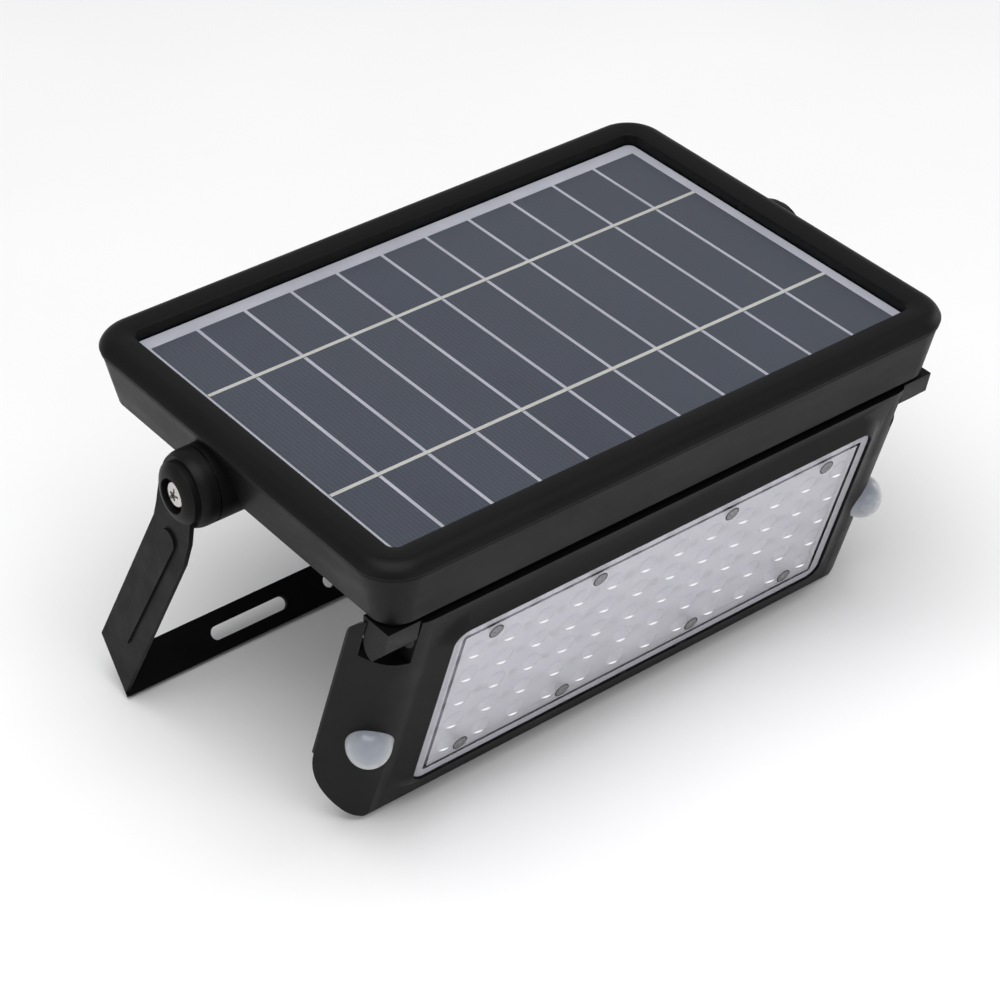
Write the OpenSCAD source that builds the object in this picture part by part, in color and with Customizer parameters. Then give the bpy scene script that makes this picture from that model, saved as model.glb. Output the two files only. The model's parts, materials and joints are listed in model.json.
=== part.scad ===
// Solar flood light: a solar head on a stamped stirrup bracket, with an LED lamp
// hinged under the front edge of the head.
// Millimetres, +Z up, the panel level. The origin is the centre of the bracket's
// mounting face, midway between its two round holes.

/* [Solar head] */
// Overall width of the panel frame
head_w = 274; // [270:1:284]
// Overall depth of the panel frame
head_d = 194.6; // [190.6:1:206.6]
// Depth of the tray below the frame seam
tray_h = 26; // [26:0.5:30]
// Number of solar cell strips
strip_count = 11; // [9:1:12]

/* [Lamp] */
// Backward lean of the lamp from upright, in degrees
lamp_lean = 18.87; // [16:0.5:22]
// LED columns
led_cols = 12; // [8:2:12]
// LED rows
led_rows = 5; // [3:2:5]

/* [Bracket] */
// Thickness of the steel sheet
sheet_t = 2; // [1.8:0.1:2.2]
// Lean of the arms from upright, in degrees
arm_lean = 28; // [26:0.5:30]
// Radius of the two round mounting holes
mount_hole_r = 2.7; // [2.2:0.1:3.2]
// Length of the two mounting slots, end to end
slot_len = 35.6; // [24:0.4:40]

/* [Hidden] */
$fn = 64;
eps = 0.01;

// Places in the solar head. The head's own zero is the middle of the glass.
pivot = [14.5, -18.5];          // tilt axis: y, z
hinge = [-80.2, -37.2];         // lamp hinge axis: y, z
head_at = [0, -62.5, 130.5];    // the head's zero in the object's frame
pivot_at = [head_at[1] + pivot[0], head_at[2] + pivot[1]];

// Panel frame and tray
rim_r = 17.5;                   // plan corner radius of the rim
open_r = 4;                     // plan corner radius of the opening
rim_cx = head_w / 2 - rim_r;    // plan corner centres
rim_cy = head_d / 2 - rim_r;
seam_z = -0.5;
shelf_z = -4.2;                 // underside of the frame's inner shelf
tray_z = seam_z - tray_h;       // underside of the tray
wall_t = 2.5;
post_r = 4.4;
post_xy = [for (x = [-104, 0, 104], y = [-68, 68]) [x, y]];

// Tilt joint, measured outward along X
boss_r = 14.7;
boss_x = head_w / 2 + 1;        // outer face of the tray boss
washer_t = 0.6;
arm_x = boss_x + 8;             // inner face of the arm
cap_x = boss_x + 12.7;          // outer face of the hub cap
cap_edge = 9;                   // rounding of the hub's outer edge
eye_bore = 8.1;
screw_r = 2.5;
head_seat = arm_x + 1.4;        // seat of the pivot screw head

// Lamp, in its own frame: x right, y up the face, z out of the face, the hinge
// axis at y 49, z -8
axis_y = 49;
axis_z = -8;
lamp_front = -1.2;
lamp_rear = axis_z - 10.4;
lamp_bottom = -52.3;
lamp_half = 134;
wing_line = 116.7;              // the wings run back along z = wing_line - |x|
bend_r = 18;
corner_r = 32;                  // lower outside corner of each wing
shell_t = 2.4;
win = [100.3, 43.5];            // window half-size
win_y = 6.5;
win_r = 6;
frame_h = 2.2;
barrel_r = tray_z - hinge[1] - 0.3;
lens_z = 1.5;
lens_pitch = [15.96, 13.75];
grid_y = 6.2;
fix_x = [-79.8, -31.9, 31.9, 79.8];
fix_y = [39.3, -26.7];
cover_z = lamp_rear + shell_t;
cover_fix = [[-106, 30], [106, 30], [-106, -41], [106, -41], [-36, -41], [36, -41]];
dome_at = [121.2, -8.2];
dome_r = 8.6;
dome_z = -0.9;                  // centre of the dome's sphere
slot_in = 115.5;                // hinge slot in the lamp, from and to along X
slot_out = 130.3;
lug_r = 5;
lug_slope = 3.4;                // distance of the lug's sloped side from the hinge axis

// Bracket
fold_lean = 48.3;               // the mounting plate below the horizontal
arm_dir = [sin(arm_lean), -cos(arm_lean)];
arm_across = [cos(arm_lean), sin(arm_lean)];
plate_up = 17.5;                // rear end of the fold above the hole line
plate_dn = -6.65;
strip_y = [-7.6, 8.3];
slot_w = 5.4;
slot_x = 88;
hole_x = 49.7;

// ---------- helpers ----------

module in_head() {
    translate(head_at) children();
}

module in_lamp() {
    in_head()
        translate([0, hinge[0], hinge[1]])
            rotate([90 + lamp_lean, 0, 0])
                translate([0, -axis_y, -axis_z]) children();
}

module in_plate() {
    rotate([fold_lean, 0, 0]) children();
}

module both_sides() {
    children();
    mirror([1, 0, 0]) children();
}

// A 2D shape drawn in (y, z), pushed along X from x0 over len
module along_x(x0, len) {
    translate([x0, 0, 0]) rotate([90, 0, 90]) linear_extrude(len) children();
}

// A disc or bar lying along X, its axis at (y, z)
module rod_x(x0, len, r, y = 0, z = 0) {
    translate([x0, y, z]) rotate([0, 90, 0]) cylinder(h = len, r = r);
}

module tube_x(x0, len, r, bore, y = 0, z = 0) {
    difference() {
        rod_x(x0, len, r, y, z);
        rod_x(x0 - 1, len + 2, bore, y, z);
    }
}

module rounded(w, d, r) {
    hull_w = w - 2 * r;
    hull_d = d - 2 * r;
    square([hull_w, d], center = true);
    square([w, hull_d], center = true);
    for (x = [-1, 1], y = [-1, 1])
        translate([x * hull_w / 2, y * hull_d / 2]) circle(r);
}

// A section in (r, z) swept round a rectangle whose corner centres are at +-cx, +-cy
module swept(cx, cy) {
    for (a = [0:3]) {
        q = [[1, 1], [-1, 1], [-1, -1], [1, -1]][a];
        side = (a % 2 == 0) ? cy : cx;
        out = (a % 2 == 0) ? cx : cy;
        translate([q[0] * cx, q[1] * cy, 0])
            rotate([0, 0, 90 * a]) rotate_extrude(angle = 90) children();
        rotate([0, 0, 90 * a]) translate([out, side, 0])
            rotate([90, 0, 0]) linear_extrude(2 * side) children();
    }
}

// A wing's own frame: x outward along the wing, z out of its face
module on_wing(x, y) {
    translate([x, y, wing_line - x]) rotate([0, 45, 0]) children();
}

// ---------- bracket ----------

function arm_pt(s, q) = pivot_at + s * arm_dir + q * arm_across;
function plate_pt(y) = [y * cos(fold_lean), y * sin(fold_lean)];

module arm_outline() {
    translate(pivot_at) circle(11.9);
    polygon([
        arm_pt(0, -4), arm_pt(4, -11.2), arm_pt(14, -14.6), arm_pt(26, -16.35),
        plate_pt(plate_dn), plate_pt(plate_up),
        arm_pt(24, 6.2), arm_pt(17, 7.6), arm_pt(4, 11.2)
    ]);
}

module rib_outline(inset) {
    hull() {
        translate(arm_pt(24, -5.2)) circle(4.4 - inset, $fn = 32);
        translate(arm_pt(96, -5.2)) circle(2.9 - inset, $fn = 32);
    }
}

module plate_outline() {
    w = arm_x + sheet_t;
    difference() {
        translate([-w, strip_y[0]]) square([2 * w, plate_up - strip_y[0]]);
        translate([0, strip_y[1] + 20]) rounded(2 * w - 20, 40, 9);
        for (x = [-1, 1]) {
            translate([x * hole_x, 0]) circle(mount_hole_r);
            translate([x * slot_x, 0]) rounded(slot_len, slot_w, slot_w / 2 - eps);
        }
    }
}

module mounting_bracket() {
    color([0.10, 0.10, 0.11])
    difference() {
        union() {
            both_sides() along_x(arm_x, sheet_t) arm_outline();
            both_sides() along_x(arm_x + sheet_t - eps, 1) rib_outline(0);
            in_plate() linear_extrude(sheet_t) plate_outline();
        }
        both_sides() {
            along_x(arm_x - 1, 2) rib_outline(1);
            rod_x(arm_x - 2, 8, eye_bore, pivot_at[0], pivot_at[1]);
            // outside corner of the fold
            in_plate() translate([0, plate_up + 1, 0]) rotate([90, 0, 0])
                linear_extrude(plate_up - strip_y[0] + 2)
                    translate([arm_x + sheet_t - 3, 0]) difference() {
                        translate([0, -1]) square([4, 4]);
                        translate([0, 3]) circle(3);
                    }
        }
    }
}

// The hub's outside, in (r, x): straight, then rounded to the end face
module hub_profile() {
    intersection() {
        translate([0, boss_x]) square([boss_r, cap_x - boss_x]);
        union() {
            translate([0, boss_x]) square([boss_r, cap_x - cap_edge - boss_x]);
            translate([0, boss_x]) square([boss_r - cap_edge, cap_x - boss_x]);
            translate([boss_r - cap_edge, cap_x - cap_edge]) circle(cap_edge);
        }
    }
}

module hub_slice(x0, x1) {
    translate([0, pivot_at[0], pivot_at[1]]) rotate([0, 90, 0])
        rotate_extrude() intersection() {
            hub_profile();
            translate([0, x0]) square([boss_r + 1, x1 - x0]);
        }
}

module pivot_caps() {
    color([0.11, 0.11, 0.12])
    both_sides() difference() {
        union() {
            hub_slice(arm_x + sheet_t, cap_x);
            rod_x(arm_x, sheet_t + eps, 8, pivot_at[0], pivot_at[1]);
        }
        rod_x(head_seat, 10, 6.75, pivot_at[0], pivot_at[1]);
        rod_x(arm_x - 1, 10, screw_r + 0.06, pivot_at[0], pivot_at[1]);
    }
}

module pivot_spacers() {
    color([0.11, 0.11, 0.12])
    both_sides() difference() {
        hub_slice(boss_x + washer_t, arm_x);
        rod_x(boss_x, 12, screw_r + 0.06, pivot_at[0], pivot_at[1]);
    }
}

module friction_washers() {
    color([0.55, 0.56, 0.58])
    both_sides() tube_x(boss_x, washer_t, 12.5, screw_r + 0.3, pivot_at[0], pivot_at[1]);
}

// ---------- solar head ----------

module frame_section() {
    difference() {
        union() {
            translate([10.8, -2.5]) circle(7);
            polygon([[open_r, -6], [open_r, 3.7], [open_r + 0.8, 4.1], [10.8, 4.5], [10.8, -6]]);
        }
        translate([-10, -20]) square([40, 20 + seam_z]);
    }
}

module panel_frame() {
    color([0.11, 0.11, 0.12])
    in_head() difference() {
        union() {
            swept(rim_cx, rim_cy) frame_section();
            swept(rim_cx, rim_cy) translate([open_r, shelf_z]) square([8.7, seam_z - shelf_z]);
            translate([0, 0, shelf_z]) linear_extrude(1.8) difference() {
                rounded(2 * rim_cx + 10, 2 * rim_cy + 10, 5);
                square([2 * rim_cx - 18, 2 * rim_cy - 16], center = true);
            }
            for (p = post_xy) translate([p[0], p[1], -8]) cylinder(h = 4, r = post_r);
            for (y = [-1, 1])
                translate([0, y * 72, -3.3]) cube([12, 14, 1.8], center = true);
        }
        for (p = post_xy) translate([p[0], p[1], -9]) cylinder(h = 6, r = 1.52);
    }
}

// Outer (inset 0) and inner (inset wall_t) tray wall, in (r, z)
module tray_section(inset) {
    drop = tray_h - 1.4;
    run = drop * 0.265;
    top = [16.4 - inset, seam_z - 1.4 + inset * 0.3];
    foot = [16.4 - run - inset, tray_z + inset];
    edge = 3;
    difference() {
        polygon([[0, foot[1]], foot, top, [top[0], 2], [0, 2]]);
        translate([foot[0] - edge * 1.25, foot[1] - eps]) difference() {
            square([edge * 1.25 + 1, edge]);
            translate([0, edge]) circle(edge);
        }
    }
}

module tray_solid(inset) {
    swept(rim_cx, rim_cy) tray_section(inset);
    translate([-rim_cx, -rim_cy, tray_z + inset])
        cube([2 * rim_cx, 2 * rim_cy, tray_h + 2]);
}

// Hinge lug in (y, z): flush with the foot of the tray, sloped off below
module lug_outline() {
    difference() {
        union() {
            translate(hinge) circle(lug_r);
            translate(hinge) polygon([
                [-6.7, 0], [-9.7, tray_z - hinge[1] + 1], [lug_r, tray_z - hinge[1] + 1], [lug_r, 0]
            ]);
        }
        translate(hinge) rotate(-45) translate([-20, -lug_r - 12])
            square([40, 12 + lug_r - lug_slope]);
    }
}

module head_tray() {
    color([0.11, 0.11, 0.12])
    in_head() difference() {
        union() {
            difference() {
                union() {
                    tray_solid(0);
                    swept(rim_cx, rim_cy) translate([0, seam_z - 1.2]) square([16.9, 1.2]);
                }
                tray_solid(wall_t);
                translate([-200, -200, seam_z]) cube([400, 400, 10]);
            }
            both_sides() rod_x(boss_x - 24, 24, boss_r, pivot[0], pivot[1]);
            both_sides() along_x(slot_in + 0.5, 14) lug_outline();
            for (p = post_xy) translate([p[0], p[1], tray_z + 1])
                cylinder(h = -8 - tray_z - 1, r = post_r);
            for (x = [22, 88], y = [-12, 36]) translate([x, y, tray_z + 1])
                cylinder(h = tray_h - 18.5, r = 3);
            // guard ring round the push button
            translate([60, 10, tray_z - 0.8]) cylinder(h = 2, r = 8);
        }
        both_sides() {
            rod_x(80, 80, screw_r + 0.02, pivot[0], pivot[1]);
            translate([boss_x - 25, pivot[0], pivot[1]]) rotate([0, 90, 0])
                cylinder(h = 7, r = 4.65, $fn = 6);
            rod_x(slot_in - 1, 13, 2.02, hinge[0], hinge[1]);
        }
        // room for the frame's shelf over each boss
        both_sides() translate([boss_x - 25, pivot[0] - 16, shelf_z - 0.1])
            cube([rim_cx + 37.9 - boss_x, 32, 6]);
        // passage for the lead through the left hinge lug
        mirror([1, 0, 0]) {
            rod_x(slot_in + 8, 3.5, 1.9, hinge[0], hinge[1]);
            translate([125, hinge[0], hinge[1]]) cylinder(h = 16, r = 1.9);
        }
        for (p = post_xy) translate([p[0], p[1], tray_z - 1]) {
            cylinder(h = 1 + tray_h - 14, r = 3.1);
            cylinder(h = tray_h, r = 1.6);
        }
        translate([60, 10, tray_z - 2]) cylinder(h = 8, r = 5.06);
        translate([60, 10, tray_z - 2]) difference() {
            cylinder(h = 2, r = 12);
            translate([0, 0, -1]) cylinder(h = 4, r = 8);
        }
    }
}

module laminate(w, d, z0, t) {
    in_head() translate([0, 0, z0]) linear_extrude(t) rounded(w, d, open_r - 0.3);
}

glass_w = 2 * (rim_cx + open_r - 0.2);
glass_d = 2 * (rim_cy + open_r - 0.2);

module solar_glass() {
    color([0.75, 0.82, 0.90, 0.35])
    laminate(glass_w, glass_d, -1.1, 2);
}

module panel_backsheet() {
    color([0.86, 0.86, 0.88])
    laminate(glass_w, glass_d, -1.75, 0.3);
}

module panel_gasket() {
    color([0.05, 0.05, 0.05])
    in_head() translate([0, 0, -2.4]) linear_extrude(0.65) difference() {
        rounded(glass_w, glass_d, open_r - 0.3);
        square([glass_w - 14, glass_d - 14], center = true);
    }
}

module solar_cells() {
    pitch = 239 / strip_count;
    color([0.07, 0.10, 0.22])
    in_head() for (i = [0:strip_count - 1])
        translate([(i - (strip_count - 1) / 2) * pitch, -1.5, -1.325])
            cube([pitch - 1.65, 156, 0.25], center = true);
}

module cell_ribbons() {
    color([0.78, 0.76, 0.70])
    in_head() for (y = [-1, 1])
        translate([0, -1.5 + y * 38.8, -1.15]) cube([237.5, 1.7, 0.1], center = true);
}

cell_r = 9.2;
cell_len = 65.2;
bank = [-44, 12];               // middle of the battery bank

module each_cell() {
    for (i = [0:3]) translate([bank[0], bank[1] + (i - 1.5) * 19.4, tray_z + wall_t + 0.6 + cell_r])
        children();
}

module battery_cells() {
    color([0.16, 0.42, 0.30])
    in_head() each_cell() {
        rod_x(-cell_len / 2, cell_len - 1.6, cell_r);
        rod_x(cell_len / 2 - 1.6, 1.6, 3);
    }
}

module battery_holder() {
    z0 = tray_z + wall_t;
    color([0.15, 0.15, 0.16])
    in_head() difference() {
        translate([bank[0] - 36.6, bank[1] - 40, z0]) cube([73.2, 80, 11]);
        each_cell() rod_x(-cell_len / 2 - 0.1, cell_len + 0.2, cell_r + 0.05);
        translate([bank[0] - 20, bank[1] - 45, z0 + 6]) cube([40, 90, 10]);
    }
}

board_z = tray_z + 8.5;

module control_board() {
    color([0.05, 0.30, 0.14])
    in_head() difference() {
        translate([16, -18, board_z]) cube([78, 60, 1.6]);
        for (x = [22, 88], y = [-12, 36]) translate([x, y, board_z - 1]) cylinder(h = 4, r = 1.6);
    }
}

module board_components() {
    top = board_z + 1.6;
    color([0.14, 0.14, 0.15])
    in_head() translate([0, 0, top]) {
        translate([34, 2, 0]) cube([9, 7, 1.5]);
        translate([50, 16, 0]) cube([6, 5, 1.5]);
        translate([66, 24, 0]) cube([7, 7, 2.3]);
        translate([30, 24, 0]) cylinder(h = 5, r = 5.5);
        translate([48, 32, 0]) cylinder(h = 9, r = 4);
        translate([78, 4, 0]) cylinder(h = 9, r = 4);
        for (i = [0:2]) translate([30 + i * 14, -16, 0]) cube([10, 6, 7]);
        for (i = [0:7]) translate([60 + i * 3.2, -6, 0]) cube([1.6, 0.9, 0.6]);
    }
}

module button_switch() {
    color([0.62, 0.62, 0.64])
    in_head() {
        translate([57, 7, board_z - 2.4]) cube([6, 6, 2.4]);
        translate([60, 10, board_z - 3.1]) cylinder(h = 0.7, r = 1.7);
    }
}

module power_button() {
    color([0.20, 0.20, 0.21])
    in_head() translate([60, 10, 0]) {
        translate([0, 0, tray_z - 0.6]) cylinder(h = wall_t + 0.6, r = 5);
        translate([0, 0, tray_z + wall_t]) cylinder(h = 1, r = 6.4);
        translate([0, 0, tray_z + wall_t]) cylinder(h = 2, r = 2);
    }
}

// A cross-recessed screw: seat at z 0, head towards -z, shank towards +z
module screw(shank_r, len, head_r, head_h) {
    difference() {
        union() {
            cylinder(h = len, r = shank_r);
            translate([0, 0, -head_h]) cylinder(h = head_h, r = head_r);
        }
        for (a = [0, 90]) rotate([0, 0, a])
            translate([-head_r * 0.55, -head_r * 0.1, -head_h - 1])
                cube([head_r * 1.1, head_r * 0.2, 1 + head_h * 0.55]);
    }
}

module tray_screws() {
    color([0.60, 0.61, 0.63])
    in_head() for (p = post_xy)
        translate([p[0], p[1], tray_z + tray_h - 14]) screw(1.5, 9.3, 2.9, 2.2);
}

module pivot_screws() {
    color([0.80, 0.80, 0.82])
    in_head() both_sides() difference() {
        union() {
            rod_x(boss_x - 23, head_seat - boss_x + 23, screw_r, pivot[0], pivot[1]);
            translate([head_seat, pivot[0], pivot[1]]) rotate([0, 90, 0])
                rotate_extrude() intersection() {
                    union() {
                        translate([0, -1]) circle(3.3);
                        square([4.2, 1.9]);
                        translate([4.2, 0.85]) circle(1.05);
                        square([5.25, 0.85]);
                    }
                    square([5.25, 2.3]);
                }
        }
        for (a = [0, 90]) translate([head_seat + 1.1, pivot[0], pivot[1]])
            rotate([a, 0, 0]) translate([0, -2.6, -0.55]) cube([3, 5.2, 1.1]);
    }
}

module pivot_nuts() {
    color([0.72, 0.72, 0.74])
    in_head() both_sides() translate([boss_x - 22, pivot[0], pivot[1]]) rotate([0, 90, 0])
        difference() {
            cylinder(h = 4, r = 4.6, $fn = 6);
            translate([0, 0, -1]) cylinder(h = 6, r = screw_r + 0.02);
        }
}

module hinge_pins() {
    color([0.74, 0.74, 0.76])
    in_head() both_sides() difference() {
        union() {
            rod_x(slot_in - 6.1, 3, 4, hinge[0], hinge[1]);
            rod_x(slot_in - 3.2, 3.7, 3, hinge[0], hinge[1]);
            rod_x(slot_in, 7.5, 2, hinge[0], hinge[1]);
        }
        rod_x(slot_in - 8, 20, 1.4, hinge[0], hinge[1]);
    }
}

module head_lead() {
    color([0.08, 0.08, 0.08])
    in_head() mirror([1, 0, 0]) {
        rod_x(slot_in + 3, 6.5, 1.1, hinge[0], hinge[1]);
        translate([125, hinge[0], hinge[1]]) sphere(1.1);
        translate([125, hinge[0], hinge[1]]) cylinder(h = 15.7, r = 1.1);
        translate([125, hinge[0], hinge[1] + 15.7]) sphere(1.1);
        rod_x(92, 33, 1.1, hinge[0], hinge[1] + 15.7);
    }
}

// ---------- lamp ----------

// Front to back section along the lamp's height, in (y, z)
module lamp_side() {
    top_y = axis_y + barrel_r * cos(lamp_lean);
    top_z = axis_z - barrel_r * sin(lamp_lean);
    rise = lamp_front - top_z;
    tip_y = top_y + rise * tan(lamp_lean);
    difference() {
        union() {
            polygon([
                [lamp_bottom, lamp_front], [tip_y, lamp_front], [top_y, top_z],
                [axis_y, axis_z], [axis_y, lamp_rear], [lamp_bottom, lamp_rear]
            ]);
            translate([axis_y, axis_z]) circle(barrel_r);
        }
        for (c = [[lamp_front - 3.2, 1], [lamp_rear + 3.2, -1]])
            translate([lamp_bottom + 3.2, c[0]]) difference() {
                translate([-4.2, c[1] > 0 ? 0 : -4.2]) square([4.2, 4.2]);
                circle(3.2);
            }
    }
}

// Section across the lamp, in (x, z): flat face, bends, wings
module lamp_across(inset) {
    front = lamp_front - inset;
    line = wing_line - inset * sqrt(2);
    bend = line - front;
    tang = bend_r * tan(22.5);
    half = inset > 0 ? line - cover_z : lamp_half;
    difference() {
        polygon([
            [-bend, front], [bend, front], [half, line - half],
            [half, lamp_rear - inset], [-half, lamp_rear - inset], [-half, line - half]
        ]);
        for (s = [-1, 1]) difference() {
            polygon([
                [s * (bend - tang), front + 1], [s * (bend + 3), front + 1],
                [s * (bend + tang * sin(45) + 1), front - tang * sin(45) + 1],
                [s * (bend + tang * sin(45)), front - tang * sin(45)],
                [s * (bend - tang), front - bend_r]
            ]);
            translate([s * (bend - tang), front - bend_r]) circle(bend_r);
        }
    }
}

module lamp_block() {
    intersection() {
        translate([0, 80, 0]) rotate([90, 0, 0]) linear_extrude(150) lamp_across(0);
        along_x(-150, 300) lamp_side();
    }
}

// Trims the lower wing corner to a radius in the wing's plane
module corner_trim(inset) {
    both_sides() on_wing(lamp_half, lamp_bottom) difference() {
        translate([-corner_r, -5, -40]) cube([corner_r + 16, corner_r + 5, 80]);
        translate([-corner_r, corner_r, -45]) cylinder(h = 90, r = corner_r - inset);
    }
}

module lamp_cavity() {
    deep = lamp_bottom + shell_t;
    difference() {
        intersection() {
            translate([0, 80, 0]) rotate([90, 0, 0]) linear_extrude(150) lamp_across(shell_t);
            union() {
                translate([-150, deep, -60]) cube([300, 34 - deep, 60]);
                translate([3 - slot_in, deep, -60]) cube([2 * slot_in - 6, 44 - deep, 60]);
                translate([3 - slot_in, deep, -13.5]) cube([2 * slot_in - 6, 55 - deep, 30]);
            }
        }
        corner_trim(shell_t);
    }
}

module hinge_slots() {
    both_sides() {
        rod_x(slot_in, slot_out - slot_in, 11, axis_y, axis_z);
        translate([slot_in, axis_y - 8.8, -40]) cube([slot_out - slot_in, 40, 40 + axis_z]);
        translate([slot_in, axis_y, -40]) cube([slot_out - slot_in, 30, 60]);
    }
}

module frame_lip() {
    swept(win[0] - win_r, win[1] - win_r)
        polygon([
            [win_r, lamp_front - 1], [win_r, frame_h], [win_r + 0.7, frame_h],
            [win_r + 7.5, lamp_front], [win_r + 7.5, lamp_front - 1]
        ]);
}

module lamp_bezel() {
    color([0.11, 0.11, 0.12])
    in_lamp() difference() {
        union() {
            difference() {
                lamp_block();
                lamp_cavity();
                corner_trim(0);
            }
            translate([0, win_y, 0]) frame_lip();
            for (p = cover_fix) translate([p[0], p[1], cover_z])
                cylinder(h = lamp_front - 1.4 - cover_z, r = 3.6);
            for (x = [-85, -28.3, 0, 28.3, 85])
                translate([x - 1.6, win_y - win[1] - 1, lens_z]) cube([3.2, 1.9, 0.4]);
        }
        hinge_slots();
        both_sides() rod_x(slot_in - 5, 7, 3.06, axis_y, axis_z);
        translate([0, win_y, -10]) linear_extrude(9.5) rounded(2 * win[0] + 5.2, 2 * win[1] + 5.2, 8.6);
        translate([0, win_y, -10]) linear_extrude(10 + lens_z) rounded(2 * win[0], 2 * win[1], win_r);
        for (p = cover_fix) translate([p[0], p[1], lamp_rear - 1]) cylinder(h = 12, r = 1.52);
        both_sides() on_wing(dome_at[0], dome_at[1]) translate([0, 0, -8]) cylinder(h = 12, r = dome_r + 0.1);
    }
}

module lamp_rear_cover() {
    y0 = lamp_bottom + shell_t + 0.2;
    color([0.12, 0.12, 0.13])
    in_lamp() difference() {
        union() {
            difference() {
                union() {
                    translate([-128.8, y0, lamp_rear]) cube([257.6, 33.8 - y0, shell_t]);
                    translate([-112, y0, lamp_rear]) cube([224, 43.8 - y0, shell_t]);
                }
                corner_trim(shell_t + 0.5);
            }
            for (x = fix_x, y = fix_y) translate([x, y, cover_z - eps])
                cylinder(h = -6.5 - cover_z + eps, r = 3.2);
        }
        for (x = fix_x, y = fix_y) translate([x, y, lamp_rear + 4]) cylinder(h = 20, r = 1.52);
        for (p = cover_fix) translate([p[0], p[1], lamp_rear - 1]) {
            cylinder(h = 5, r = 1.7);
            cylinder(h = 2.2, r = 3.2);
        }
        for (i = [-4:4]) translate([i * 20 - 4, -28, lamp_rear - 1]) cube([8, 52, 1.8]);
    }
}

module lens_plate() {
    cap_r = 6.58;
    color([0.80, 0.84, 0.88, 0.45])
    in_lamp() difference() {
        union() {
            translate([0, win_y, -3.1]) linear_extrude(2) rounded(2 * win[0] + 5, 2 * win[1] + 5, 8.5);
            translate([0, win_y, -1.2]) linear_extrude(lens_z + 1.2)
                rounded(2 * win[0] - 0.4, 2 * win[1] - 0.4, win_r - 0.2);
            for (x = fix_x, y = fix_y) translate([x, y, -4.9]) cylinder(h = 5, r = 3);
            for (i = [0:led_cols - 1], j = [0:led_rows - 1])
                translate([(i - (led_cols - 1) / 2) * lens_pitch[0],
                           grid_y + (j - (led_rows - 1) / 2) * lens_pitch[1], lens_z - 0.6])
                    rotate_extrude() intersection() {
                        translate([0, 2.2 - cap_r]) circle(cap_r);
                        square([8, 4]);
                    }
        }
        difference() {
            translate([0, win_y, -4]) linear_extrude(3.1) rounded(2 * win[0] - 6, 2 * win[1] - 6, 4);
            for (x = fix_x, y = fix_y) translate([x, y, -6]) cylinder(h = 8, r = 3);
        }
        for (x = fix_x, y = fix_y) translate([x, y, 0.3]) {
            cylinder(h = 3, r = 2.9);
            translate([0, 0, -8]) cylinder(h = 10, r = 1.6);
        }
    }
}

module lens_seal() {
    color([0.20, 0.20, 0.21])
    in_lamp() translate([0, win_y, -1.1]) linear_extrude(0.6) difference() {
        rounded(2 * win[0] + 5, 2 * win[1] + 5, 8.5);
        rounded(2 * win[0], 2 * win[1], win_r);
    }
}

module led_board() {
    color([0.86, 0.87, 0.88])
    in_lamp() difference() {
        translate([0, win_y, -6.5]) linear_extrude(1.6)
            rounded(2 * win[0] + 3, 2 * win[1] + 3, 7.5);
        for (x = fix_x, y = fix_y) translate([x, y, -8]) cylinder(h = 6, r = 1.6);
    }
}

module leds() {
    color([0.95, 0.86, 0.45])
    in_lamp() for (i = [0:led_cols - 1], j = [0:led_rows - 1])
        translate([(i - (led_cols - 1) / 2) * lens_pitch[0],
                   grid_y + (j - (led_rows - 1) / 2) * lens_pitch[1], -4.55])
            cube([3.5, 2.8, 0.7], center = true);
}

module lens_screws() {
    color([0.62, 0.63, 0.65])
    in_lamp() for (x = fix_x, y = fix_y)
        translate([x, y, 0.3]) mirror([0, 0, 1]) screw(1.5, 13, 2.75, 1.2);
}

module rear_cover_screws() {
    color([0.62, 0.63, 0.65])
    in_lamp() for (p = cover_fix)
        translate([p[0], p[1], lamp_rear + 1.2]) screw(1.5, 9, 2.9, 1.1);
}

module sensor_domes() {
    color([0.90, 0.92, 0.94, 0.9])
    in_lamp() both_sides() difference() {
        union() {
            // flange under the shell, trimmed where the wing bends
            intersection() {
                on_wing(dome_at[0], dome_at[1]) translate([0, 0, -4]) cylinder(h = 1.5, r = 10.4);
                translate([0, 10, 0]) rotate([90, 0, 0]) linear_extrude(40)
                    lamp_across(shell_t + 0.1);
            }
            on_wing(dome_at[0], dome_at[1]) {
                translate([0, 0, -7]) cylinder(h = 7 + dome_z, r = dome_r);
                translate([0, 0, dome_z]) intersection() {
                    sphere(dome_r);
                    cylinder(h = 20, r = 12);
                }
            }
        }
        on_wing(dome_at[0], dome_at[1]) {
            translate([0, 0, -8]) cylinder(h = 8 + dome_z, r = dome_r - 1.1);
            translate([0, 0, dome_z]) sphere(dome_r - 1.1);
        }
    }
}

module sensor_cans() {
    color([0.78, 0.76, 0.68])
    in_lamp() both_sides() on_wing(dome_at[0], dome_at[1])
        translate([0, 0, -5]) {
            cylinder(h = 0.6, r = 4.6);
            cylinder(h = 4.2, r = 4.1);
        }
}

module sensor_boards() {
    color([0.05, 0.30, 0.14])
    in_lamp() both_sides() on_wing(dome_at[0], dome_at[1])
        translate([0, 0, -6]) cylinder(h = 1, r = 7.4);
}

module hinge_washers() {
    color([0.30, 0.30, 0.31])
    in_lamp() both_sides() tube_x(slot_in, 0.5, lug_r, 3.1, axis_y, axis_z);
}

module lamp_lead() {
    color([0.08, 0.08, 0.08])
    in_lamp() mirror([1, 0, 0]) {
        rod_x(95, slot_in - 93, 1.1, axis_y, axis_z);
        translate([95, axis_y, axis_z]) sphere(1.1);
        translate([95, axis_y - 20, axis_z]) rotate([-90, 0, 0]) cylinder(h = 20, r = 1.1);
        translate([95, axis_y - 20, axis_z]) sphere(1.1);
        rod_x(70, 25, 1.1, axis_y - 20, axis_z);
    }
}

// ---------- drawing ----------

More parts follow.
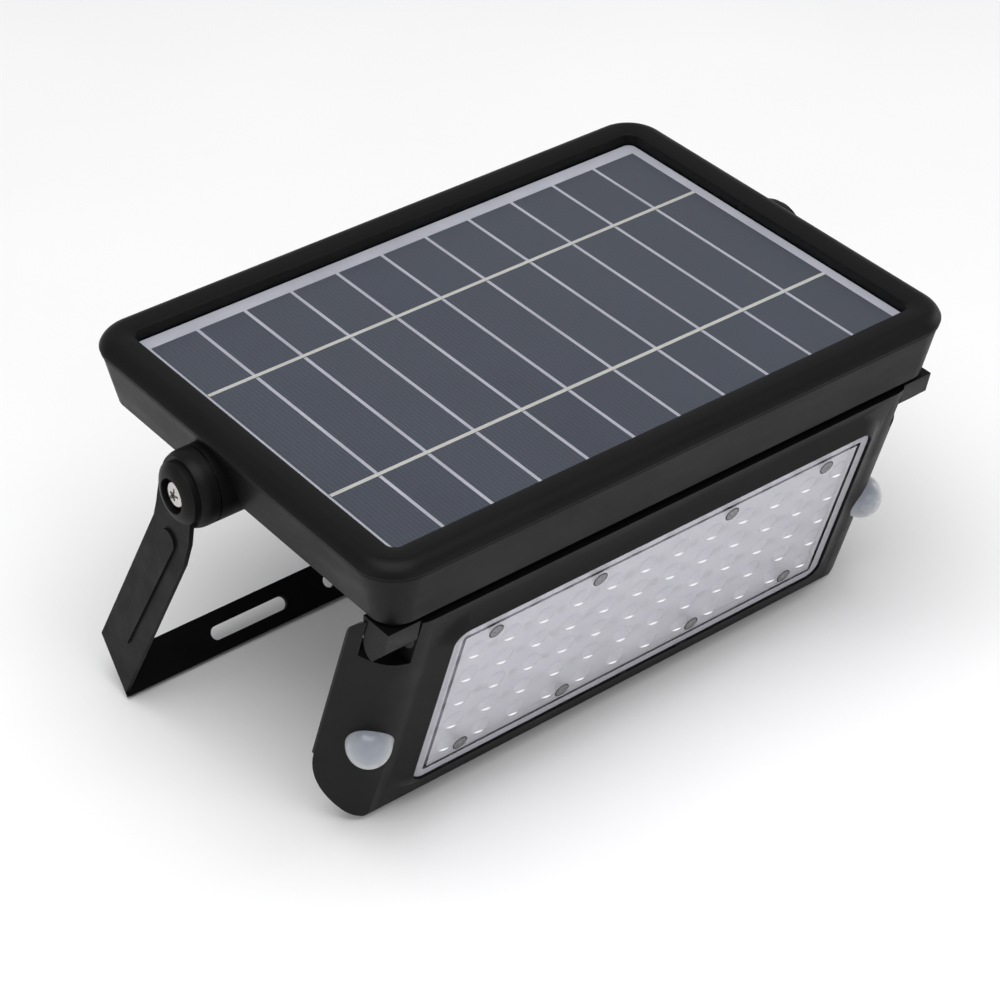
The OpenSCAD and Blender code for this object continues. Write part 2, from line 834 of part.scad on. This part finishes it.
mounting_bracket();
pivot_caps();
pivot_spacers();
friction_washers();
panel_frame();
head_tray();
solar_glass();
solar_cells();
cell_ribbons();
panel_backsheet();
panel_gasket();
battery_cells();
battery_holder();
control_board();
board_components();
button_switch();
tray_screws();
pivot_screws();
pivot_nuts();
hinge_pins();
head_lead();
power_button();
lamp_bezel();
lamp_rear_cover();
lens_plate();
lens_seal();
led_board();
leds();
lens_screws();
sensor_domes();
sensor_cans();
sensor_boards();
rear_cover_screws();
hinge_washers();
lamp_lead();
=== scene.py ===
"""Looks of the solar flood light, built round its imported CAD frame."""

import json
import math

import bpy
from mathutils import Matrix, Vector


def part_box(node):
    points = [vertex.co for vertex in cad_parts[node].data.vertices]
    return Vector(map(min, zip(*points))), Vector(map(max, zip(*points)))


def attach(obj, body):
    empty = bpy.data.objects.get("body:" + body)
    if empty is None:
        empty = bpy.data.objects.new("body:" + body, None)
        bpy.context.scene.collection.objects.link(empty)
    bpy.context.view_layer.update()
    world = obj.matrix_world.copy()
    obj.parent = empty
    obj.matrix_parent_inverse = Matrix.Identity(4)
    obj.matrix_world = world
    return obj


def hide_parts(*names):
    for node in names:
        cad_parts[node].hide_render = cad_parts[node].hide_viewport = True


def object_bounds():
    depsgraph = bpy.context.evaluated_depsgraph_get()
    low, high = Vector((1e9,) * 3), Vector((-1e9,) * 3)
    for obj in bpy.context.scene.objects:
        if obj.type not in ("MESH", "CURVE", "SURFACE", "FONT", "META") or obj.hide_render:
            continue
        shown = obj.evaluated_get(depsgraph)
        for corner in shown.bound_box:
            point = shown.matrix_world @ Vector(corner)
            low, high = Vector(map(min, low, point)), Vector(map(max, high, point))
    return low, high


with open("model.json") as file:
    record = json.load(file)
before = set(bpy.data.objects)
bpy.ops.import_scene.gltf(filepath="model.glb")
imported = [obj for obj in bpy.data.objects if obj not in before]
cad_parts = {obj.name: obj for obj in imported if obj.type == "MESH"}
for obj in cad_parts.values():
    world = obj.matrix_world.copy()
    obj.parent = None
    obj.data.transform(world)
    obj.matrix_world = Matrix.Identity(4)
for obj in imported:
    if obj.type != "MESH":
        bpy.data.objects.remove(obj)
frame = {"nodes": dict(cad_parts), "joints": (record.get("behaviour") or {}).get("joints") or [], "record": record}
start_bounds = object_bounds()

MM = 0.001
NODES = frame["nodes"]
JOINTS = {j["name"]: j for j in frame["joints"]}

# ---------------------------------------------------------------- places
# The head's zero is the middle of the panel, GLASS_TOP mm under the top of its glass.
GLASS_TOP = 0.9
glass_lo, glass_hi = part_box("solar_glass")
HEAD_AT = Vector((0, (glass_lo.y + glass_hi.y) / 2, glass_hi.z - GLASS_TOP * MM))
HEAD = Matrix.Translation(HEAD_AT)
# The lamp's own frame has X to the right, Y up its face and Z out of it.
LAMP_LEAN = 18.87
HINGE_Y, HINGE_Z = 49, -8
HINGE = Vector(JOINTS["lamp_fold"]["pos_m"])
LAMP = (
    Matrix.Translation(HINGE)
    @ Matrix.Rotation(math.radians(90 + LAMP_LEAN), 4, "X")
    @ Matrix.Translation((0, -HINGE_Y * MM, -HINGE_Z * MM))
)
# The cell strips run along Y and share this width along X.
STRIPS = 11
STRIPS_WIDTH = 239


# ---------------------------------------------------------------- shader helpers
class Shader:
    """A material with short ways to add and join its nodes."""

    def __init__(self, name):
        self.mat = bpy.data.materials.new(name)
        self.mat.use_nodes = True
        self.tree = self.mat.node_tree
        self.bsdf = self.tree.nodes["Principled BSDF"]
        self.out = self.tree.nodes["Material Output"]
        self.coord = self.node("ShaderNodeTexCoord").outputs["Object"]

    def node(self, kind, **values):
        n = self.tree.nodes.new(kind)
        for key, value in values.items():
            if hasattr(n, key):
                setattr(n, key, value)
            else:
                n.inputs[key.replace("_", " ")].default_value = value
        return n

    def join(self, a, b):
        self.tree.links.new(a, b)

    def noise(self, scale, detail=3.0, rough=0.5, stretch=(1, 1, 1)):
        m = self.node("ShaderNodeMapping")
        m.inputs["Scale"].default_value = stretch
        self.join(self.coord, m.inputs["Vector"])
        n = self.node("ShaderNodeTexNoise", Scale=scale, Detail=detail, Roughness=rough)
        self.join(m.outputs["Vector"], n.inputs["Vector"])
        return n.outputs["Fac"]

    def ramp(self, fac, stops):
        r = self.node("ShaderNodeValToRGB")
        e = r.color_ramp.elements
        while len(e) < len(stops):
            e.new(0.5)
        for item, (pos, col) in zip(e, stops):
            item.position = pos
            item.color = (*col, 1) if len(col) == 3 else col
        self.join(fac, r.inputs["Fac"])
        return r.outputs["Color"]

    def remap(self, fac, lo, hi, a=0.3, b=0.7):
        m = self.node("ShaderNodeMapRange")
        for key, value in (("From Min", a), ("From Max", b), ("To Min", lo), ("To Max", hi)):
            m.inputs[key].default_value = value
        self.join(fac, m.inputs["Value"])
        return m.outputs["Result"]

    def math(self, op, a, b=None, c=None):
        m = self.node("ShaderNodeMath", operation=op)
        for i, v in enumerate((a, b, c)):
            if v is None:
                continue
            if isinstance(v, (int, float)):
                m.inputs[i].default_value = v
            else:
                self.join(v, m.inputs[i])
        return m.outputs["Value"]

    def mix(self, fac, a, b):
        m = self.node("ShaderNodeMix", data_type="RGBA")
        for i, v in ((0, fac), (6, a), (7, b)):
            if isinstance(v, (int, float)):
                m.inputs[i].default_value = v
            elif isinstance(v, tuple):
                m.inputs[i].default_value = (*v, 1)
            else:
                self.join(v, m.inputs[i])
        return m.outputs[2]

    def bump(self, height, strength, distance):
        b = self.node("ShaderNodeBump", Strength=strength, Distance=distance)
        self.join(height, b.inputs["Height"])
        last = self.bsdf.inputs["Normal"]
        if last.links:
            self.join(last.links[0].from_socket, b.inputs["Normal"])
        self.join(b.outputs["Normal"], last)
        return b.outputs["Normal"]

    def set(self, **values):
        for key, v in values.items():
            s = self.bsdf.inputs[key.replace("_", " ")]
            if isinstance(v, (int, float)):
                s.default_value = v
            elif isinstance(v, tuple):
                s.default_value = (*v, 1) if len(v) == 3 else v
            else:
                self.join(v, s)

    def worn_edges(self, base, edge, radius=0.6 * MM, amount=0.5):
        """base colour, lightened where the surface turns sharply, as handling does."""
        bev = self.node("ShaderNodeBevel", samples=4)
        bev.inputs["Radius"].default_value = radius
        geo = self.node("ShaderNodeNewGeometry")
        dot = self.node("ShaderNodeVectorMath", operation="DOT_PRODUCT")
        self.join(bev.outputs["Normal"], dot.inputs[0])
        self.join(geo.outputs["Normal"], dot.inputs[1])
        turn = self.math("SUBTRACT", 1.0, dot.outputs["Value"])
        fac = self.math("MULTIPLY", self.remap(turn, 0, amount, 0.01, 0.25), self.noise(160, 4))
        return self.mix(fac, base, edge)


def black_plastic(name, level=0.0044, rough=0.42, spec=0.11):
    """Satin black moulding with spark-eroded grain and faint flow marks."""
    s = Shader(name)
    cloud = s.noise(14, 4)
    light = (level * 1.15, level * 1.13, level * 1.16)
    tone = s.ramp(cloud, [(0.3, (level * 0.88,) * 3), (0.7, light)])
    tone = s.worn_edges(tone, (level * 4.2,) * 3, amount=0.7)
    smudge = s.noise(35, 5, 0.6, (1, 1, 2.5))
    s.set(Base_Color=tone, Roughness=s.remap(smudge, rough - 0.05, rough + 0.07))
    s.set(Specular_IOR_Level=spec)
    s.bump(s.noise(2600, 2), 0.10, 0.00006)
    s.bump(s.noise(60, 2), 0.05, 0.0004)
    return s.mat


def powder_coat(name, level=0.0036, rough=0.5):
    """Black powder coat: fine orange peel over steel, with slightly rubbed edges."""
    s = Shader(name)
    tone = s.ramp(s.noise(22, 4), [(0.3, (level * 0.85,) * 3), (0.7, (level * 1.2,) * 3)])
    tone = s.worn_edges(tone, (0.03, 0.03, 0.032), radius=0.5 * MM, amount=0.8)
    s.set(Base_Color=tone, Roughness=s.remap(s.noise(90, 3), rough - 0.06, rough + 0.08))
    s.set(Specular_IOR_Level=0.09)
    s.bump(s.noise(1500, 2, 0.4), 0.22, 0.00008)
    s.bump(s.noise(320, 2, 0.4), 0.12, 0.0001)
    return s.mat


def metal(name, colour, rough=0.25, brushed=(1, 1, 1), scale=400, metallic=1.0):
    """Plain or plated metal, streaked where brushed is uneven."""
    s = Shader(name)
    streak = s.noise(scale, 4, 0.6, brushed)
    dim = tuple(c * 0.8 for c in colour)
    s.set(Base_Color=s.ramp(streak, [(0.35, dim), (0.65, colour)]), Metallic=metallic)
    s.set(Roughness=s.remap(streak, rough - 0.07, rough + 0.1))
    s.bump(streak, 0.12, 0.00005)
    return s.mat


def soft_matt(name, colour, rough=0.7, scale=500, spec=0.35):
    """Plastic, rubber or film in one mottled colour."""
    s = Shader(name)
    dark = tuple(c * 0.82 for c in colour)
    s.set(Base_Color=s.ramp(s.noise(40, 4), [(0.3, dark), (0.7, colour)]))
    s.set(Roughness=s.remap(s.noise(scale, 2), rough - 0.08, rough + 0.08), Specular_IOR_Level=spec)
    s.bump(s.noise(scale, 3), 0.15, 0.0001)
    return s.mat


def cell_silicon():
    """Slate blue cells: each strip its own tone, with fine fingers along Y."""
    s = Shader("cell_silicon")
    xyz = s.node("ShaderNodeSeparateXYZ")
    s.join(s.coord, xyz.inputs["Vector"])
    x = xyz.outputs["X"]
    from_left = s.math("ADD", x, STRIPS_WIDTH / 2 * MM)
    strip = s.math("FLOOR", s.math("DIVIDE", from_left, STRIPS_WIDTH / STRIPS * MM))
    white = s.node("ShaderNodeTexWhiteNoise", noise_dimensions="1D")
    s.join(strip, white.inputs["W"])
    cloud = s.noise(18, 5, 0.6)
    tone = s.ramp(cloud, [(0.3, (0.025, 0.030, 0.047)), (0.7, (0.032, 0.038, 0.057))])
    tone = s.mix(s.remap(white.outputs["Value"], 0, 0.35, 0, 1), tone, (0.039, 0.045, 0.061))
    finger_gap, finger_half = 1.75, 0.11
    saw = s.math("PINGPONG", x, finger_gap / 2 * MM)
    line = s.math("LESS_THAN", saw, finger_half * MM)
    tone = s.mix(s.math("MULTIPLY", line, 0.16), tone, (0.22, 0.22, 0.24))
    s.set(Base_Color=tone, Roughness=s.remap(cloud, 0.32, 0.42), Specular_IOR_Level=0.5)
    s.bump(s.noise(900, 2), 0.05, 0.00003)
    return s.mat


def see_through(name, tint, gloss_rough, ior, haze=0.0, haze_colour=None, ripple=0.0):
    """Clear sheet: passes light straight on, reflects by Fresnel, with an optional milky share."""
    s = Shader(name)
    t = s.node("ShaderNodeBsdfTransparent")
    t.inputs["Color"].default_value = (*tint, 1)
    g = s.node("ShaderNodeBsdfGlossy")
    smear = s.noise(20, 4, 0.6)
    s.join(s.remap(smear, gloss_rough * 0.8, gloss_rough * 1.4), g.inputs["Roughness"])
    f = s.node("ShaderNodeFresnel", IOR=ior)
    if ripple:
        b = s.node("ShaderNodeBump", Strength=ripple, Distance=0.0004)
        s.join(s.noise(30, 2), b.inputs["Height"])
        s.join(b.outputs["Normal"], g.inputs["Normal"])
        s.join(b.outputs["Normal"], f.inputs["Normal"])
    mix = s.node("ShaderNodeMixShader")
    # Fresnel turns total on a back face at a low angle, so only the outer side reflects
    side = s.node("ShaderNodeNewGeometry").outputs["Backfacing"]
    s.join(s.math("MULTIPLY", f.outputs["Fac"], s.math("SUBTRACT", 1.0, side)), mix.inputs[0])
    base = t.outputs[0]
    if haze:
        dim = tuple(c * 0.93 for c in haze_colour)
        s.set(Base_Color=s.ramp(s.noise(50, 3), [(0.3, dim), (0.7, haze_colour)]))
        s.set(Roughness=0.3, Specular_IOR_Level=0.6)
        inner = s.node("ShaderNodeMixShader")
        inner.inputs[0].default_value = haze
        s.join(base, inner.inputs[1])
        s.join(s.bsdf.outputs[0], inner.inputs[2])
        base = inner.outputs[0]
    s.join(base, mix.inputs[1])
    s.join(g.outputs[0], mix.inputs[2])
    s.join(mix.outputs[0], s.out.inputs["Surface"])
    return s.mat


def milky_dome():
    """Sensor lens: a waxy shell with a painted sheen, its colour lighter where it is seen edge on, over fine
    moulded facets.
    """
    s = Shader("dome_milky")
    edge = s.node("ShaderNodeLayerWeight", Blend=0.35)
    cloud = s.noise(120, 3)
    middle = s.ramp(cloud, [(0.3, (0.24, 0.26, 0.30)), (0.7, (0.28, 0.30, 0.34))])
    # painted sheen: the colour turns lighter towards where the shell is seen edge on
    rim = s.remap(edge.outputs["Facing"], 0, 1, 0.1, 0.75)
    s.set(Base_Color=s.mix(rim, middle, (0.52, 0.53, 0.53)))
    s.set(Roughness=s.remap(cloud, 0.2, 0.3), Specular_IOR_Level=0.5, Subsurface_Weight=0.25)
    s.set(Subsurface_Scale=0.002)
    s.bsdf.inputs["Subsurface Radius"].default_value = (1.0, 0.9, 0.8)
    cell = s.node("ShaderNodeTexVoronoi", Scale=420.0)
    s.join(s.coord, cell.inputs["Vector"])
    s.bump(cell.outputs["Distance"], 0.18, 0.0002)
    return s.mat


def board(name, colour):
    """Solder mask with the faint lines of its tracks."""
    s = Shader(name)
    line = s.node("ShaderNodeTexBrick", Scale=260.0)
    s.join(s.coord, line.inputs["Vector"])
    light = tuple(min(1, c * 1.35 + 0.01) for c in colour)
    tone = s.mix(s.math("MULTIPLY", line.outputs["Fac"], 0.5), colour, light)
    s.set(Base_Color=tone, Roughness=s.remap(s.noise(200, 3), 0.25, 0.4))
    s.bump(line.outputs["Fac"], 0.2, 0.00004)
    return s.mat


def lens_bump_with_painted_highlight():
    """Clear lens with a painted highlight: a bright emitting spot on each lens, placed by the mesh's own highlight
    value.
    """
    s = Shader("lens_bump")
    clear = s.node("ShaderNodeBsdfTransparent")
    haze = s.ramp(s.noise(50, 3), [(0.3, (0.60, 0.60, 0.65)), (0.7, (0.66, 0.66, 0.70))])
    s.set(Base_Color=haze, Roughness=0.12, Specular_IOR_Level=0.5)
    body = s.node("ShaderNodeMixShader")
    body.inputs[0].default_value = 0.16
    s.join(clear.outputs[0], body.inputs[1])
    s.join(s.bsdf.outputs[0], body.inputs[2])
    painted_spot = s.node("ShaderNodeEmission", Strength=1.1)
    # the painted highlight spots are seen but light nothing
    s.mat.cycles.emission_sampling = "NONE"
    painted_spot.inputs["Color"].default_value = (0.97, 0.98, 1.0, 1)
    painted_highlight = s.node("ShaderNodeAttribute", attribute_name="painted_highlight").outputs["Fac"]
    mix = s.node("ShaderNodeMixShader")
    s.join(s.remap(painted_highlight, 0, 1, 0.3, 0.75), mix.inputs[0])
    s.join(body.outputs[0], mix.inputs[1])
    s.join(painted_spot.outputs[0], mix.inputs[2])
    s.join(mix.outputs[0], s.out.inputs["Surface"])
    return s.mat


MATS = {
    "housing": black_plastic("housing"),
    "bracket_steel": powder_coat("bracket_steel"),
    "holder_plastic": soft_matt("holder_plastic", (0.05, 0.05, 0.055)),
    "cell_silicon": cell_silicon(),
    "ribbon": metal("ribbon", (0.66, 0.64, 0.58), 0.45, (1, 40, 1), 120, 0.35),
    "backsheet": soft_matt("backsheet", (0.46, 0.45, 0.49), 0.5, 300),
    "seal_rubber": soft_matt("seal_rubber", (0.02, 0.02, 0.02), 0.75),
    "cell_sleeve": soft_matt("cell_sleeve", (0.06, 0.28, 0.18), 0.3, 200, 0.5),
    "circuit_board": board("circuit_board", (0.02, 0.16, 0.07)),
    "component_black": soft_matt("component_black", (0.03, 0.03, 0.032), 0.55),
    "zinc_steel": metal("zinc_steel", (0.60, 0.61, 0.63), 0.3),
    "stainless": metal("stainless", (0.56, 0.55, 0.53), 0.16, (1, 1, 1), 900),
    "lead_jacket": soft_matt("lead_jacket", (0.02, 0.02, 0.02), 0.6),
    "button_rubber": soft_matt("button_rubber", (0.06, 0.06, 0.065), 0.7),
    "panel_glass": see_through("panel_glass", (0.97, 0.98, 0.99), 0.05, 1.45, ripple=0.05),
    "lens_clear": see_through("lens_clear", (0.97, 0.97, 0.98), 0.12, 1.4, 0.42, (0.76, 0.75, 0.81)),
    "led_board_white": soft_matt("led_board_white", (0.84, 0.83, 0.87), 0.45, 300),
    "led_phosphor": soft_matt("led_phosphor", (0.16, 0.16, 0.15), 0.35, 900),
    "dome_milky": milky_dome(),
}


# ---------------------------------------------------------------- mesh helpers
def build(name, verts, faces, place, slot, body, stands=(), sharp=35, weld=0.0, paint=None):
    """A mesh given in millimetres in a local frame, placed, painted and riding on its body."""
    me = bpy.data.meshes.new(name)
    me.from_pydata([place @ (Vector(v) * MM) for v in verts], [], faces)
    me.validate()
    ob = bpy.data.objects.new(name, me)
    bpy.context.scene.collection.objects.link(ob)
    if weld:
        w = ob.modifiers.new("weld", "WELD")
        w.merge_threshold = weld * MM
    me.shade_smooth()
    me.set_sharp_from_angle(angle=math.radians(sharp))
    me.materials.append(paint or MATS[slot])
    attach(ob, body)
    if stands:
        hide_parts(*stands)
    return ob


def arc(cx, cy, r, a0, a1, n):
    """Points on a circle from angle a0 to a1, in degrees."""
    return [
        (cx + r * math.cos(math.radians(a0 + (a1 - a0) * i / n)),
         cy + r * math.sin(math.radians(a0 + (a1 - a0) * i / n)))
        for i in range(n + 1)
    ]


def sweep_rect(cx, cy, section, steps=20, closed=True):
    """A (r, z) section swept round a rectangle with corner centres at +-cx, +-cy."""
    verts, faces = [], []
    rings = []
    for k, (sx, sy) in enumerate(((1, 1), (-1, 1), (-1, -1), (1, -1))):
        for i in range(steps + 1):
            a = math.radians(90 * k + 90 * i / steps)
            rings.append((sx * cx, sy * cy, math.cos(a), math.sin(a)))
    n = len(section)
    for x, y, c, s in rings:
        verts += [(x + r * c, y + r * s, z) for r, z in section]
    total = len(rings)
    for i in range(total):
        j = (i + 1) % total
        for k in range(n if closed else n - 1):
            m = (k + 1) % n
            faces.append((i * n + k, j * n + k, j * n + m, i * n + m))
    return verts, faces


def lathe(profile, steps=64):
    """An (r, z) profile turned round Z. Ends that meet the axis close up."""
    verts, faces = [], []
    n = len(profile)
    for i in range(steps):
        a = 2 * math.pi * i / steps
        verts += [(r * math.cos(a), r * math.sin(a), z) for r, z in profile]
    for i in range(steps):
        j = (i + 1) % steps
        for k in range(n - 1):
            faces.append((i * n + k, j * n + k, j * n + k + 1, i * n + k + 1))
    return verts, faces


def cad_finish(node, slot, bevel, angle=32):
    """Paints a CAD node and softens its edges, leaving its own mesh alone."""
    ob = NODES[node]
    ob.data.materials.clear()
    ob.data.materials.append(MATS[slot])
    ob.data.polygons.foreach_set("use_smooth", [True] * len(ob.data.polygons))
    w = ob.modifiers.new("weld", "WELD")
    w.merge_threshold = 0.002 * MM
    if bevel:
        b = ob.modifiers.new("bevel", "BEVEL")
        b.width = bevel * MM
        b.segments = 2
        b.limit_method = "ANGLE"
        b.angle_limit = math.radians(angle)
        b.use_clamp_overlap = True
        n = ob.modifiers.new("weighted", "WEIGHTED_NORMAL")
        n.mode = "FACE_AREA"
    else:
        e = ob.modifiers.new("edges", "EDGE_SPLIT")
        e.split_angle = math.radians(angle)
        e.use_edge_sharp = False
    return ob


# ---------------------------------------------------------------- CAD nodes
# bevel widths in mm; the other nodes keep their sharp edges
BEVELS = {
    "mounting_bracket": 0.35, "head_tray": 0.4, "lamp_bezel": 0.35, "lamp_rear_cover": 0.3,
    "pivot_spacers": 0.2, "battery_holder": 0.2, "power_button": 0.3, "tray_screws": 0.1,
    "rear_cover_screws": 0.1, "lens_screws": 0.12, "panel_frame": 0.3, "pivot_caps": 0.3,
}
for part in frame["record"]["subparts"]:
    cad_finish(part["node"], part["material_slot"], BEVELS.get(part["node"], 0))

dull_zinc = metal("dull_zinc", (0.24, 0.24, 0.25), 0.3, (1, 1, 1), 900)
for node in ("lens_screws", "tray_screws", "rear_cover_screws"):
    NODES[node].data.materials[0] = dull_zinc

# ---------------------------------------------------------------- panel frame
RIM_CX, RIM_CY = 119.5, 79.8
RIM_STEPS = 28
# inner wall, rounded inner edge, sloped top, round shoulder, rounded lower edge and underside
frame_section = (
    [(4.0, 0.9), (4.0, 3.2)]
    + arc(4.55, 3.2, 0.55, 180, 105, 5)
    + [(5.4, 4.0), (7.6, 4.36)]
    + arc(10.8, -2.5, 7.0, 90, 22, 22)
    + arc(16.95, -0.14, 0.36, 10, -90, 5)
    + [(14.0, -0.5), (4.0, -0.6)]
)
v, f = sweep_rect(RIM_CX, RIM_CY, frame_section, RIM_STEPS)
build("panel_rim", v, f, HEAD, "housing", "head", ["panel_frame"], sharp=40)

# ---------------------------------------------------------------- lens plate
# half sizes of the window, its middle, the LEDs' grid and the screws' places
WIN = (100.3, 43.5)
WIN_Y = 6.5
WIN_CORNER = 6
COLS, ROWS = 12, 5
PITCH = (15.96, 13.75)
GRID_Y = 6.2
FIX_X = (-79.8, -31.9, 31.9, 79.8)
FIX_Y = (39.3, -26.7)
SHEET_TOP = 1.38
SHEET_STEPS = 14
FLANGE = 3.0
# the sheet and the flange that holds it behind the window
sheet_section = (
    [(0.0, SHEET_TOP), (3.2, SHEET_TOP)]
    + arc(5.1, SHEET_TOP - 0.7, 0.7, 90, 0, 6)
    + [(5.8, -1.1), (8.4, -1.1), (8.4, -3.1), (FLANGE, -3.1), (FLANGE, -0.9), (0.0, -0.9)]
)
v, f = sweep_rect(WIN[0] - WIN_CORNER, WIN[1] - WIN_CORNER, sheet_section, SHEET_STEPS, closed=False)
n = len(sheet_section)
corners = [k * (SHEET_STEPS + 1) * n for k in range(4)]
# the top and bottom faces, between the ring's four corner centres
f.append(tuple(corners))
f.append(tuple(c + n - 1 for c in reversed(corners)))
v = [(x, y + WIN_Y, z) for x, y, z in v]
build("lens_sheet", v, f, LAMP, "lens_clear", "lamp", ["lens_plate"], sharp=30, weld=0.002)

# one lens over each LED, each with a painted highlight low on the side away from the hinge
BUMP_R = 6.4
BUMP_TOP = 3.15
# place, size and widening of the painted highlight on each lens, in mm
PAINTED_HIGHLIGHT_AT = (-1.05, -1.95)
PAINTED_HIGHLIGHT_SIZE = 1.6
PAINTED_HIGHLIGHT_WIDER = 1.25
rings = [3.98, 3.7, 3.4, 3.1, 2.8, 2.5, 2.2, 1.9, 1.5, 1.0, 0.5, 0.0]
bump = (
    [(4.55, 1.3), (4.45, 1.62), (4.25, 1.66), (4.1, 1.5)]
    + [(r, BUMP_TOP - BUMP_R + math.sqrt(BUMP_R * BUMP_R - r * r)) for r in rings]
)
bv, bf = lathe(bump, 36)
verts, faces, painted_highlight = [], [], []
for i in range(COLS):
    for j in range(ROWS):
        ox = (i - (COLS - 1) / 2) * PITCH[0]
        oy = GRID_Y + (j - (ROWS - 1) / 2) * PITCH[1]
        k = len(verts)
        verts += [(x + ox, y + oy, z) for x, y, z in bv]
        faces += [tuple(a + k for a in face) for face in bf]
        for x, y, z in bv:
            far = math.hypot((x - PAINTED_HIGHLIGHT_AT[0]) / PAINTED_HIGHLIGHT_WIDER, y - PAINTED_HIGHLIGHT_AT[1]) / PAINTED_HIGHLIGHT_SIZE
            painted_highlight.append(math.exp(-far * far))
paint = lens_bump_with_painted_highlight()
lenses = build("lens_bumps", verts, faces, LAMP, "lens_clear", "lamp", sharp=50, paint=paint)
# weight of the painted highlight at each vertex, read by the lens material
lenses.data.attributes.new("painted_highlight", "FLOAT", "POINT").data.foreach_set("value", painted_highlight)

# painted shade: a dark ring round the head of each lens screw, standing for the shadow in its counterbore
shade_ring_section = [(2.76, 1.30), (2.76, 1.46), (3.2, 1.46), (3.2, 1.30)]
gv, gf = lathe(shade_ring_section, 32)
verts, faces = [], []
for x0 in FIX_X:
    for y0 in FIX_Y:
        k = len(verts)
        verts += [(x + x0, y + y0, z) for x, y, z in gv]
        faces += [tuple(a + k for a in face) for face in gf]
build("lens_screw_painted_shade_rings", verts, faces, LAMP, "seal_rubber", "lamp", sharp=30)

# ---------------------------------------------------------------- stage
FLOOR_HALF = 4.0
floor_z = start_bounds[0][2]
me = bpy.data.meshes.new("floor")
corners = [(x * FLOOR_HALF, y * FLOOR_HALF, floor_z) for x, y in ((-1, -1), (1, -1), (1, 1), (-1, 1))]
me.from_pydata(corners, [], [(0, 1, 2, 3)])
floor = bpy.data.objects.new("floor", me)
bpy.context.scene.collection.objects.link(floor)
fs = Shader("floor_paint")
pale = fs.ramp(fs.noise(3, 3), [(0.3, (0.86, 0.86, 0.86)), (0.7, (0.9, 0.9, 0.9))])
fs.set(Base_Color=pale, Roughness=0.8)
me.materials.append(fs.mat)

world = bpy.data.worlds.new("studio")
bpy.context.scene.world = world
world.use_nodes = True
bg = world.node_tree.nodes["Background"]
bg.inputs["Color"].default_value = (0.46, 0.46, 0.47, 1)
bg.inputs["Strength"].default_value = 1.0


def softbox(name, at, aim, size, power):
    """A white rectangular lamp of size metres at one point, turned to another."""
    lamp = bpy.data.lights.new(name, "AREA")
    lamp.shape = "RECTANGLE"
    lamp.size, lamp.size_y = size
    lamp.energy = power
    ob = bpy.data.objects.new(name, lamp)
    ob.location = at
    ob.rotation_euler = (Vector(aim) - Vector(at)).to_track_quat("-Z", "Y").to_euler()
    bpy.context.scene.collection.objects.link(ob)


softbox("key_top", (-0.35, -0.35, 1.7), (0, 0, 0.1), (1.7, 1.4), 27)
softbox("side_left", (-1.5, 0.1, 0.55), (0, 0, 0.1), (0.9, 0.9), 2.5)
softbox("front_fill", (0.3, -1.8, 0.5), (0, 0, 0.05), (1.6, 0.7), 5)
softbox("right_low", (1.9, -0.3, 0.5), (0, 0, 0.1), (0.8, 0.8), 5)

# ---------------------------------------------------------------- camera
SENSOR = 36
# focal length in picture widths, from the camera fitted to the panel and the LEDs
FOCAL = 3.438
cam = bpy.data.cameras.new("photo_view")
cam.sensor_width = SENSOR
cam.lens = SENSOR * FOCAL
cam.clip_end = 20
# where the camera stands from the head's zero, and which way its picture's sides point
eye = HEAD_AT + Vector((-0.70115, -0.87798, 0.72977))
right = Vector((0.787882, -0.615814, 0.003925))
up = Vector((0.218270, 0.285205, 0.933283))
back = right.cross(up)
cam_ob = bpy.data.objects.new("photo_view", cam)
cam_ob.matrix_world = Matrix.Translation(eye) @ Matrix((right, up, back)).transposed().to_4x4()
bpy.context.scene.collection.objects.link(cam_ob)
bpy.context.scene.camera = cam_ob

# The photo's middle lies off the lens axis, and the lens shift that makes up for it suits this
# place only. A curve over the distance from it drops the shift when the camera is moved away.
PHOTO_SHIFT = -0.9
SHIFT_REACH = 0.002
photo_place = bpy.data.objects.new("photo_place", None)
photo_place.location = eye
bpy.context.scene.collection.objects.link(photo_place)
shift = cam.driver_add("shift_y")
shift.driver.type = "SUM"
distance = shift.driver.variables.new()
distance.type = "LOC_DIFF"
distance.targets[0].id = cam_ob
distance.targets[1].id = photo_place
shift.modifiers.remove(shift.modifiers[0])
shift.keyframe_points.add(2)
for key, at in zip(shift.keyframe_points, ((0, PHOTO_SHIFT), (SHIFT_REACH, 0))):
    key.co = at
    key.interpolation = "LINEAR"
bpy.context.scene.view_settings.view_transform = "Standard"
